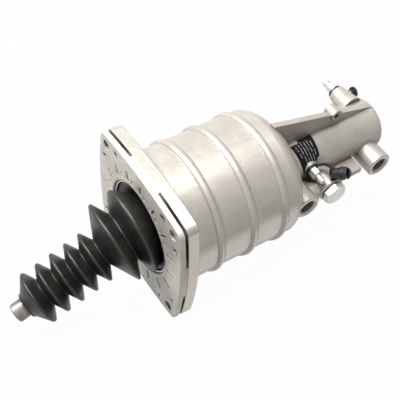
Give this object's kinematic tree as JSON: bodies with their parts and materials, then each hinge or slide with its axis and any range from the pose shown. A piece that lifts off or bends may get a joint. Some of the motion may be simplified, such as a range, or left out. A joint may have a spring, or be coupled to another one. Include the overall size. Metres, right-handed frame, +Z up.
{
  "type": "clutch servo",
  "caption": "Air-assisted hydraulic clutch servo: ribbed cast housing with a square flange, threaded ports, bleed nipples and a sprung push rod in a rubber bellows.",
  "frame": {"origin": "centre of the front cover's face, on the cylinder's main axis", "axes": "+X along the main axis from the push rod end to the closed rear end; +Z up, through the web and its lifting eye; the ports and the bleed screw face -Y"},
  "size_m": [0.4152, 0.15, 0.15],
  "materials": {
    "cast_body": "bead blasted casting",
    "cover": "die cast, worn",
    "bare_metal": "machined",
    "zinc_steel": "zinc plated",
    "rod_steel": "zinc plated bar",
    "spring_steel": "oiled",
    "dark_steel": "phosphated",
    "rubber_black": "moulded",
    "bearing_plastic": "moulded",
    "tag_film": "printed film"
  },
  "bodies": {
    "housing": {"servo_housing": "cast_body", "front_cover": "cover", "cover_seal": "rubber_black", "cover_screws": "dark_steel", "gaiter": "rubber_black", "gaiter_clip": "zinc_steel", "return_spring": "spring_steel", "plunger_guide": "bearing_plastic", "stem_seal": "rubber_black", "guide_circlip": "dark_steel", "relay_seat": "bare_metal", "relay_spring": "spring_steel", "valve_plug": "zinc_steel", "plug_washer": "dark_steel", "bleed_screw": "zinc_steel", "bleed_cap": "rubber_black", "far_nipple": "zinc_steel", "nipple_collar": "rubber_black", "vent_cap": "rubber_black", "data_tag": "tag_film"},
    "piston_group": {"piston": "bare_metal", "piston_seal": "rubber_black", "piston_guide_ring": "bearing_plastic", "rod_seat": "dark_steel", "rod_retainer": "dark_steel", "hydraulic_plunger": "bare_metal", "plunger_seal": "rubber_black"},
    "rod": {"push_rod": "rod_steel"},
    "relay": {"relay_valve": "rubber_black", "relay_piston": "zinc_steel"}
  },
  "joints": [
    {"name": "piston_stroke", "type": "slide", "parent": "housing", "child": "piston_group", "axis": [1, 0, 0], "range_m": [0, 0.055], "stiffness_N_per_m": 1500, "springref_m": -0.04, "deforming": ["return_spring", "gaiter"]},
    {"name": "rod_swing", "type": "hinge", "parent": "piston_group", "child": "rod", "pos_m": [-0.006, 0, 0], "axis": [0, -1, 0], "range_deg": [-42, 1], "deforming": ["gaiter"]},
    {"name": "relay_stroke", "type": "slide", "parent": "housing", "child": "relay", "axis": [0, -1, 0], "range_m": [0, 0.0018], "stiffness_N_per_m": 2500, "springref_m": -0.002, "deforming": ["relay_spring"]}
  ]
}
